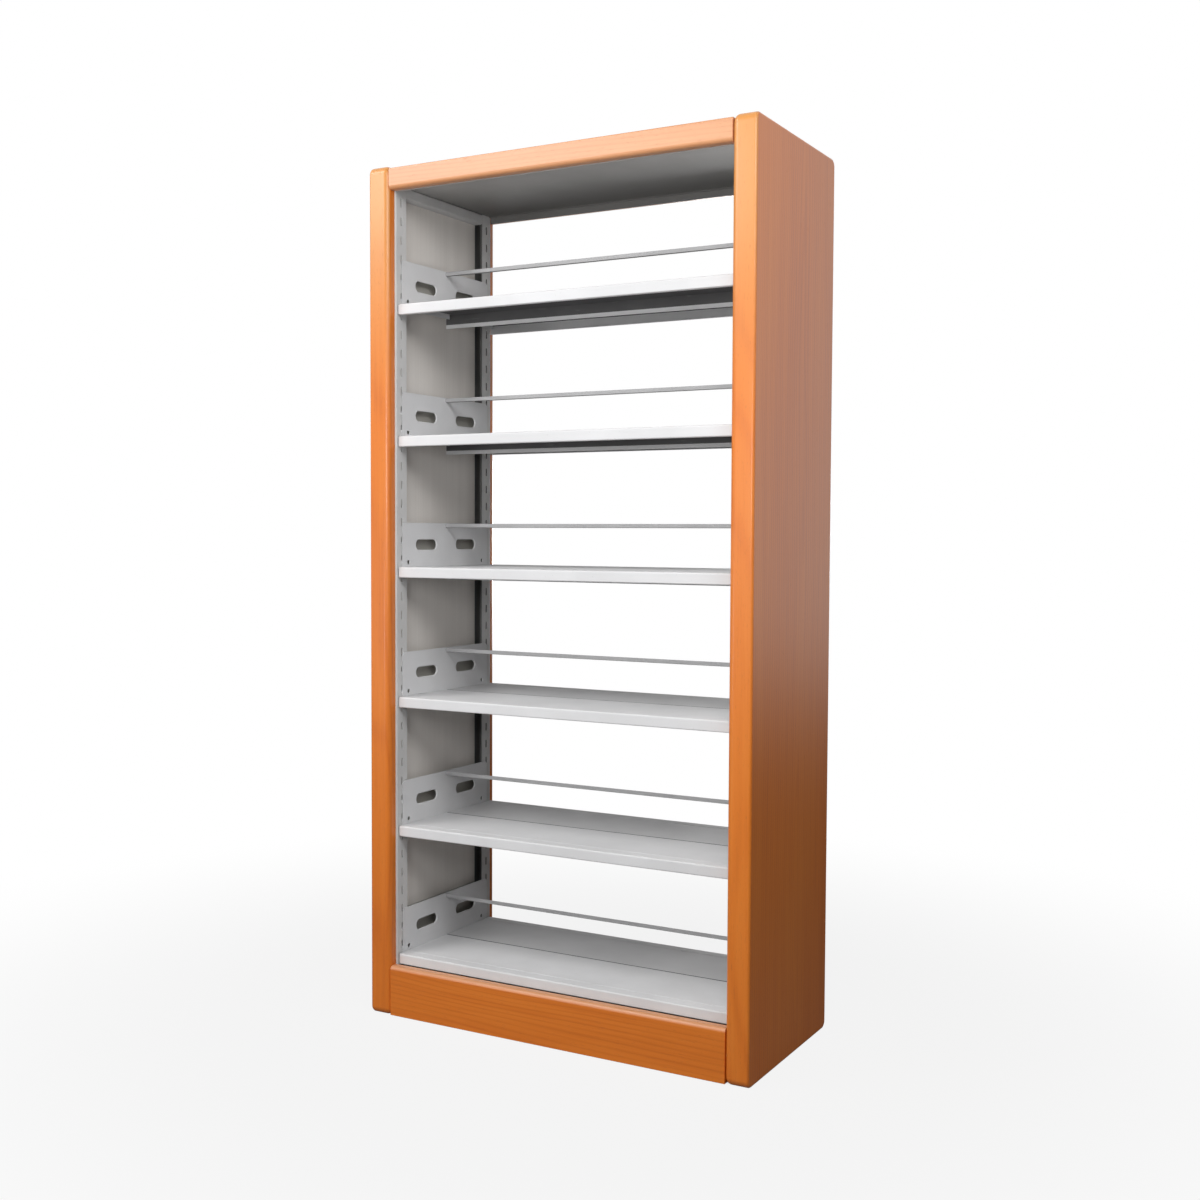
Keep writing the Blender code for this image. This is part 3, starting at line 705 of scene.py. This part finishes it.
for side, sign in sides.items():
    for stem, word in (("top_tie_", "topTieBar"), ("base_tie_", "baseTieBar")):
        low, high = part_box(stem + side)
        wall = tieCut["wall"]
        webX = min(abs(low.x), abs(high.x)) + wall / 2
        edgeX = max(abs(low.x), abs(high.x))
        lowZ, highZ = low.z + wall / 2, high.z - wall / 2
        section = sheetOutline(roundBends(
            [(edgeX, lowZ), (webX, lowZ), (webX, highZ), (edgeX, highZ)], tieCut["bend"]), wall)
        bm = bmesh.new()
        loftRings(bm, [[(sign * x, y, z) for x, z in section] for y in (low.y, high.y)])
        bar = newPiece(word + side.capitalize(), bm)
        smoothShade(bar)
        dress(bar, framePaint, "frame", "frame_steel", stem + side)

sideSheetCut = {"ease": 0.0004, "easeDeg": 40}

for side in sides:
    low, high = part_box("side_sheet_" + side)
    bm = bmesh.new()
    corners = [(low.y, low.z), (high.y, low.z), (high.y, high.z), (low.y, high.z)]
    loftRings(bm, [[(x, y, z) for y, z in corners] for x in (low.x, high.x)])
    plate = newPiece("sideSheetSteel" + side.capitalize(), bm)
    easeEdges(plate, sideSheetCut["ease"], sideSheetCut["easeDeg"])
    smoothShade(plate)
    dress(plate, sheetPaint, "frame", "frame_steel", "side_sheet_" + side)

canopyCut = {"sheet": 0.0015, "bend": 0.0030, "bendSteps": 5, "lipEnd": 0.4305, "lipDrop": 0.0175,
             "lipLeg": 0.008, "lipGap": 0.0001, "lipBend": 0.0015, "lipSteps": 4, "topTurn": 0.5}

low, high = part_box("canopy")
skin = canopyCut["sheet"]
bm = bmesh.new()
outerLoop = roundedLoop(low.y, high.y, low.z, high.z, canopyCut["bend"], canopyCut["bendSteps"])
innerLoop = roundedLoop(low.y + skin, high.y - skin, low.z + skin, high.z - skin,
                        canopyCut["bend"] - skin, canopyCut["bendSteps"])
outerWalls, innerWalls = [
    loftRings(bm, [[(x, y, z) for y, z in loop] for x in (low.x, high.x)], capped=False)
    for loop in (outerLoop, innerLoop)]
for rim, bore in zip(outerWalls, innerWalls):
    bridgeRings(bm, rim, bore)
lipY = high.y - skin / 2
lipZ = low.z - skin / 2 - canopyCut["lipGap"]
lipSection = sheetOutline(roundBends(
    [(lipY - canopyCut["lipLeg"], lipZ), (lipY, lipZ), (lipY, low.z - canopyCut["lipDrop"])],
    canopyCut["lipBend"], canopyCut["lipSteps"]), skin)
for way in faces.values():  # a turned-down edge along each top rail
    lipEnds = (-canopyCut["lipEnd"], canopyCut["lipEnd"])
    loftRings(bm, [[(x, way * y, z) for y, z in lipSection] for x in lipEnds])
canopy = newPiece("steelCanopy", bm)
smoothShade(canopy)
# painted shade: the canopy takes the darker paint, and the frame paint only on its top faces
dress(canopy, canopyShadePaint, "frame", "frame_steel", "canopy")
secondCoat(canopy, framePaint, lambda face: face.normal.z > canopyCut["topTurn"])
print("steel frame made")


# shelves: brackets, boards and stop rails

boardCut = {"sheet": 0.0015, "lip": 0.025, "lipReturn": 0.010, "frontBend": 0.0033, "frontSteps": 6,
            "bend": 0.0020, "bendSteps": 4, "backLip": 0.034, "beadBack": 0.030, "beadWidth": 0.007,
            "beadDeep": 0.0010, "beadSteps": 8, "guide": 0.009}


def boardPiece(name, node, way):
    cut = boardCut
    low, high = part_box(node)
    skin, guide = cut["sheet"], cut["guide"]  # a guide point only gives a bend its direction
    frontY = max(abs(low.y), abs(high.y)) - skin / 2
    backY = min(abs(low.y), abs(high.y)) + skin / 2
    top = high.z - skin / 2
    lipLow = high.z - cut["lip"] + skin / 2
    returnY = frontY + skin / 2 - cut["lipReturn"]
    lead = roundBends([(returnY, lipLow), (frontY, lipLow), (frontY, top - guide)],
                      cut["bend"], cut["bendSteps"])
    crown = roundBends([(frontY, top - guide), (frontY, top), (frontY - guide, top)],
                       cut["frontBend"], cut["frontSteps"])
    bead = []
    for i in range(cut["beadSteps"] + 1):
        part = i / cut["beadSteps"]
        dip = cut["beadDeep"] * (0.5 - 0.5 * math.cos(2 * math.pi * part))
        bead.append(Vector((frontY - cut["beadBack"] + cut["beadWidth"] * (0.5 - part), top - dip)))
    tail = roundBends([(backY + guide, top), (backY, top), (backY, high.z - cut["backLip"])],
                      cut["bend"], cut["bendSteps"])
    tail.insert(-1, Vector((backY, high.z - cut["lip"])))  # the painted shade on the back lip ends here
    section = sheetOutline(lead[:-1] + crown[1:-1] + bead + tail[1:], skin)
    bm = bmesh.new()
    loftRings(bm, [[(x, way * y, z) for y, z in section] for x in (low.x, high.x)])
    board = newPiece(name, bm)
    smoothShade(board)
    return board


boardShade = {"underTurn": 0.3, "underDrop": 0.010, "lipTurn": 0.5, "lipReach": 0.010, "lipClear": 0.001,
              "bendReach": 0.0025, "bendFrom": 0.0001, "bendTo": 0.004}


def isShaded(face, shelfTop, way):
    # painted shade on the underside of the tray, its back bend, and the back lip above the front lip's
    # lower edge
    test = boardShade
    drop = shelfTop - face.center.z
    out = abs(face.center.y)
    underside = face.normal.z < -test["underTurn"] and drop < test["underDrop"]
    onBackLip = face.normal.y * way > test["lipTurn"] and out < test["lipReach"]
    backLip = onBackLip and drop < boardCut["lip"] - test["lipClear"]
    backBend = out < test["bendReach"] and test["bendFrom"] < drop < test["bendTo"]
    return underside or backLip or backBend


bracketCut = {
    "faceX": 0.431, "gap": 0.0003, "sheet": 0.002, "rise": 0.105, "round": 0.010, "roundSteps": 7,
    "ease": 0.00045, "easeDeg": 50,
    "ledgeZ": -0.0028, "ledgeWide": 0.020, "ledgeGap": 0.006, "ledgeLip": 0.011, "centreGap": 0.016,
    "slotY": 0.1797, "hookRise": 0.008, "hookNeck": 0.007, "hookDrop": 0.008, "hookDeep": 0.004,
    "hookPitch": 0.044, "hookCount": 2, "hookBehind": 0.0023,
    "holeLong": 0.085, "holeHigh": 0.026, "holeY": 0.083, "holeSteps": 12, "flare": 0.0022, "flareSteps": 4,
    "pinRound": 0.005, "pinRise": 0.011, "pinBack": 0.024, "pinSteps": 20,
    "tabY": -0.00325, "tabHalfY": 0.00105, "tabLow": 0.09545, "tabHigh": 0.10205,
}


def longHole(y, z, grow):
    length = bracketCut["holeLong"] + 2 * grow
    height = bracketCut["holeHigh"] + 2 * grow
    reach = (length - height) / 2
    return (arcPoints((y + reach, z), height / 2, -90, 90, bracketCut["holeSteps"])
            + arcPoints((y - reach, z), height / 2, 90, 270, bracketCut["holeSteps"]))


def bracketPiece(name, sign, shelfTop):
    cut = bracketCut
    plateX = cut["faceX"] - cut["gap"] - cut["sheet"] / 2
    slotY, ledgeZ = cut["slotY"], cut["ledgeZ"]
    ledgeFar = slotY - cut["ledgeGap"]
    rises = [cut["hookRise"] + i * cut["hookPitch"] for i in range(cut["hookCount"])]
    necks = [z for rise in rises for z in (rise, rise + cut["hookNeck"])]
    roundY, roundZ = slotY - cut["round"], cut["rise"] - cut["round"]
    ledgeNear = cut["centreGap"]
    outline = [(y, ledgeZ) for y in (-slotY, -ledgeFar, -ledgeNear, ledgeNear, ledgeFar, slotY)]
    outline += [(slotY, z) for z in necks]
    outline += arcPoints((roundY, roundZ), cut["round"], 0, 90, cut["roundSteps"])
    outline += arcPoints((-roundY, roundZ), cut["round"], 90, 180, cut["roundSteps"])
    outline += [(-slotY, z) for z in reversed(necks)]
    bm = bmesh.new()

    def drawRing(points, x):
        return [bm.verts.new((sign * x, y, shelfTop + z)) for y, z in points]

    rings = [drawRing(outline, plateX)]
    for way in (-1, 1):
        flared = []
        for i in range(cut["flareSteps"] + 1):
            turn = math.pi / 2 * i / cut["flareSteps"]
            grow = cut["flare"] * (1 - math.sin(turn))
            deep = cut["flare"] * (1 - math.cos(turn))
            flared.append(drawRing(longHole(way * cut["holeY"], cut["rise"] / 2, grow), plateX + deep))
        for first, second in zip(flared, flared[1:]):
            bridgeRings(bm, first, second)
        rings.append(flared[0])
        pinAt = (way * (slotY - cut["pinBack"]), cut["pinRise"])
        rings.append(drawRing(arcPoints(pinAt, cut["pinRound"], 0, 360, cut["pinSteps"])[:-1], plateX))
    tabNear, tabFar = cut["tabY"] - cut["tabHalfY"], cut["tabY"] + cut["tabHalfY"]
    rings.append(drawRing([(tabNear, cut["tabLow"]), (tabFar, cut["tabLow"]), (tabFar, cut["tabHigh"]),
                           (tabNear, cut["tabHigh"])], plateX))
    edges = []
    for ring in rings:
        for i, vertex in enumerate(ring):
            pair = (vertex, ring[(i + 1) % len(ring)])
            edges.append(bm.edges.get(pair) or bm.edges.new(pair))
    bmesh.ops.triangle_fill(bm, use_beauty=True, use_dissolve=False, edges=edges)
    corner = dict(zip(outline, rings[0]))
    ledgeX = plateX - cut["sheet"] / 2 - cut["ledgeWide"]
    for near, far in ((-ledgeFar, -ledgeNear), (ledgeNear, ledgeFar)):
        edge = [bm.verts.new((sign * ledgeX, y, shelfTop + ledgeZ)) for y in (far, near)]
        lip = [bm.verts.new((sign * ledgeX, y, shelfTop + ledgeZ - cut["ledgeLip"])) for y in (near, far)]
        bm.faces.new([corner[(near, ledgeZ)], corner[(far, ledgeZ)]] + edge)
        bm.faces.new(edge + lip)
    wallX = cut["faceX"] + cut["hookBehind"]
    tipX = wallX + cut["hookDeep"]
    for y in (-slotY, slotY):
        for rise in rises:
            low, high = rise - cut["hookDrop"], rise + cut["hookNeck"]
            neckLow, neckHigh, drop, tipLow, tipHigh = [
                bm.verts.new((sign * x, y, shelfTop + z))
                for x, z in ((wallX, rise), (wallX, high), (wallX, low), (tipX, low), (tipX, high))]
            bm.faces.new((corner[(y, rise)], neckLow, neckHigh, corner[(y, high)]))
            bm.faces.new((neckLow, drop, tipLow, tipHigh, neckHigh))
    bracket = newPiece(name, bm)
    thicken(bracket, cut["sheet"])
    settle(bracket)
    easeEdges(bracket, cut["ease"], cut["easeDeg"])
    smoothShade(bracket)
    return bracket


stopCut = {"sheet": 0.0015, "bend": 0.0016, "bendSteps": 4, "tabHigh": 0.006, "plateX": 0.4287,
           "gap": 0.0003, "ease": 0.0003, "easeDeg": 50, "underTurn": 0.7}


def stopBar(name, node):
    # a folded angle: its upright face carries a tab at each end, its flange runs back from the lower edge
    low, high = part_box(node)
    skin = stopCut["sheet"]
    endX = stopCut["plateX"] - stopCut["gap"]
    faceY = low.y + skin / 2
    flangeZ = low.z + skin / 2
    section = sheetOutline(roundBends(
        [(faceY, high.z), (faceY, flangeZ), (high.y, flangeZ)],
        stopCut["bend"], stopCut["bendSteps"]), skin)
    bm = bmesh.new()
    loftRings(bm, [[(x, y, z) for y, z in section] for x in (-endX, endX)])
    middle = (low.z + high.z) / 2
    tabLow, tabHigh = middle - stopCut["tabHigh"] / 2, middle + stopCut["tabHigh"] / 2
    corners = [(low.y, tabLow), (low.y + skin, tabLow), (low.y + skin, tabHigh), (low.y, tabHigh)]
    for sign in sides.values():
        loftRings(bm, [[(sign * x, y, z) for y, z in corners] for x in (endX, high.x)])
    bar = newPiece(name, bm)
    easeEdges(bar, stopCut["ease"], stopCut["easeDeg"])
    smoothShade(bar)
    return bar


for level in levels:
    stem = "shelf_" + str(level)
    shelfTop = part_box(stem + "_board_front")[1].z
    for face, way in faces.items():
        node = stem + "_board_" + face
        board = boardPiece("shelfBoard" + str(level) + face.capitalize(), node, way)
        # the rear boards take the paint with the painted shade
        dress(board, shelfPaint if face == "front" else rearShadePaint, node, "shelf_steel", node)
        # painted shade on each board's underside, back bend and upper back lip
        secondCoat(board, boardShadePaint, lambda face: isShaded(face, shelfTop, way))
    for side, sign in sides.items():
        bracket = bracketPiece("hookBracket" + str(level) + side.capitalize(), sign, shelfTop)
        dress(bracket, shelfPaint, stem + "_carrier", "frame_steel", stem + "_bracket_" + side)
    bar = stopBar("stopBar" + str(level), stem + "_stop_rail")
    dress(bar, stopPaint, stem + "_carrier", "shelf_steel", stem + "_stop_rail")
    # painted shade on the bar's underside
    secondCoat(bar, deepShadePaint, lambda face: face.normal.z < -stopCut["underTurn"])
print("shelves made:", len(levels))

for name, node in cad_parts.items():  # the fastenings keep their CAD shapes
    if "dowel" in name or "bolt" in name:
        node.data.materials.clear()
        node.data.materials.append(dowelBeech if "dowel" in name else zincPlate)


# floor, light and camera

plainWhite = (1.0, 1.0, 1.0, 1.0)
floorLook = {"reach": 14.0, "colour": (0.25, 0.25, 0.25, 1.0), "fadeFrom": 0.7, "fadeTo": 2.4, "glow": 0.88,
             "shineFrom": 3.0, "shineTo": 14.0, "underX": 0.47, "underY": 0.212, "underEdge": 0.02}


def floorFinish(name):
    # a pale floor that keeps the shadow, fades into white further out, and stays dark under the bookcase
    look = floorLook
    material, sheet = newFinish(name)
    x, y = sheet.split(sheet.place())[:2]
    away = (x * x + y * y) ** 0.5
    ray = sheet.add("ShaderNodeLightPath", None, None, out="Is Camera Ray")
    glossy, passing = [
        Wire(sheet, ray.socket.node.outputs[kind]) for kind in ("Is Glossy Ray", "Is Transmission Ray")]
    mirrored = ray.maths("MAXIMUM", glossy, passing)
    fade = sheet.ease(away, look["fadeFrom"], look["fadeTo"])
    far = sheet.ease(away, look["shineFrom"], look["shineTo"])
    outside = x.maths("MAXIMUM", abs(x) - look["underX"], abs(y) - look["underY"])
    # a camera sees it lighter, a shine sees it as it is lit
    lift = look["glow"] + fade * (1.0 - look["glow"])
    lift = lift * sheet.ease(outside, -look["underEdge"], 0.0)
    pale = sheet.add("ShaderNodeBsdfDiffuse", None, {"Color": look["colour"]})
    white = sheet.add("ShaderNodeEmission", None, {"Color": plainWhite, "Strength": 1.0})
    shader = sheet.add("ShaderNodeMixShader", None, {0: ray * lift + mirrored * far, 1: pale, 2: white})
    sheet.add("ShaderNodeOutputMaterial", None, {"Surface": shader})
    return material


bm = bmesh.new()
reach = floorLook["reach"]
bm.faces.new([bm.verts.new((x * reach, y * reach, 0.0)) for x, y in ((-1, -1), (1, -1), (1, 1), (-1, 1))])
floor = newPiece("paleFloor", bm)
floor.data.materials.append(floorFinish("paleFloor"))

worldLook = {"fill": (0.075, 0.075, 0.077, 1.0)}
world = bpy.data.worlds.new("studio")
bpy.context.scene.world = world
world.use_nodes = True
sky = NodeSheet(world.node_tree)
ray = sky.add("ShaderNodeLightPath", None, None, out="Is Camera Ray")
seen = ray.maths("MAXIMUM", ray, Wire(sky, ray.socket.node.outputs["Is Glossy Ray"]))
seen = ray.maths("MAXIMUM", seen, Wire(sky, ray.socket.node.outputs["Is Transmission Ray"]))
fill = sky.add("ShaderNodeBackground", None, {"Color": worldLook["fill"], "Strength": 1.0})
white = sky.add("ShaderNodeBackground", None, {"Color": plainWhite, "Strength": 1.0})
both = sky.add("ShaderNodeMixShader", None, {0: seen, 1: fill, 2: white})
sky.add("ShaderNodeOutputWorld", None, {"Surface": both})

lampLooks = {
    "ceilingSoftbox": {"at": (-1.4, -1.5, 2.95), "aim": (-0.56, -0.45, 0.6), "size": (1.0, 0.7),
                       "watts": 20.0},
    "highSoftbox": {"at": (-2.0, -3.3, 2.85), "aim": (-0.1, -0.2, 1.9), "size": (2.4, 0.6), "watts": 39.5},
    "nearSoftbox": {"at": (0.3, -2.0, 1.4), "aim": (-0.3, 0.0, 1.2), "size": (0.7, 0.5), "watts": 12.5},
    "rightSoftbox": {"at": (1.2, -1.75, 2.4), "aim": (-0.3, 0.0, 1.2), "size": (0.7, 0.7), "watts": 15.0},
    "lowSoftbox": {"at": (-1.5, -2.6, 0.8), "aim": (-0.45, 0.0, 0.9), "size": (0.6, 0.6), "watts": 8.5},
    "sideSoftbox": {"at": (2.5, -1.4, 2.75), "aim": (0.3, 0.0, 1.4), "size": (1.2, 1.2), "watts": 24.0},
    "rearSoftbox": {"at": (-3.6, 14.0, 1.05), "aim": (0.0, 0.0, 1.05), "size": (5.0, 1.6), "watts": 800.0},
}
for name, look in lampLooks.items():
    lamp = bpy.data.lights.new(name, "AREA")
    lamp.shape = "RECTANGLE"
    lamp.size, lamp.size_y = look["size"]
    lamp.energy = look["watts"]
    stand = bpy.data.objects.new(name, lamp)
    stand.location = look["at"]
    stand.rotation_euler = (Vector(look["aim"]) - Vector(look["at"])).to_track_quat("-Z", "Y").to_euler()
    bpy.context.scene.collection.objects.link(stand)

cameraLook = {"eye": (1.65059624, -2.93196937, 1.14797948), "yaw": 0.51073876, "pitch": -0.04571351,
              "roll": 0.00445595, "focalPixels": 1441.686, "framePixels": 1200.0, "sensor": 36.0,
              "farthest": 100.0}


def photoCamera():
    look = cameraLook
    yaw, pitch, roll = look["yaw"], look["pitch"], look["roll"]
    ahead = Vector((-math.sin(yaw) * math.cos(pitch), math.cos(yaw) * math.cos(pitch), math.sin(pitch)))
    right = ahead.cross(Vector((0, 0, 1))).normalized()
    up = right.cross(ahead)
    rightTurned = right * math.cos(roll) + up * math.sin(roll)
    upTurned = up * math.cos(roll) - right * math.sin(roll)
    lens = bpy.data.cameras.new("photoCamera")
    lens.sensor_fit = "HORIZONTAL"
    lens.sensor_width = look["sensor"]
    lens.lens = look["focalPixels"] / look["framePixels"] * look["sensor"]
    lens.clip_end = look["farthest"]
    camera = bpy.data.objects.new("photoCamera", lens)
    stand = Matrix((rightTurned, upTurned, -ahead)).transposed().to_4x4()
    stand.translation = Vector(look["eye"])
    camera.matrix_world = stand
    bpy.context.scene.collection.objects.link(camera)
    bpy.context.scene.camera = camera


photoCamera()
bpy.context.scene.view_settings.view_transform = "Standard"
print("floor, lamps and camera set")
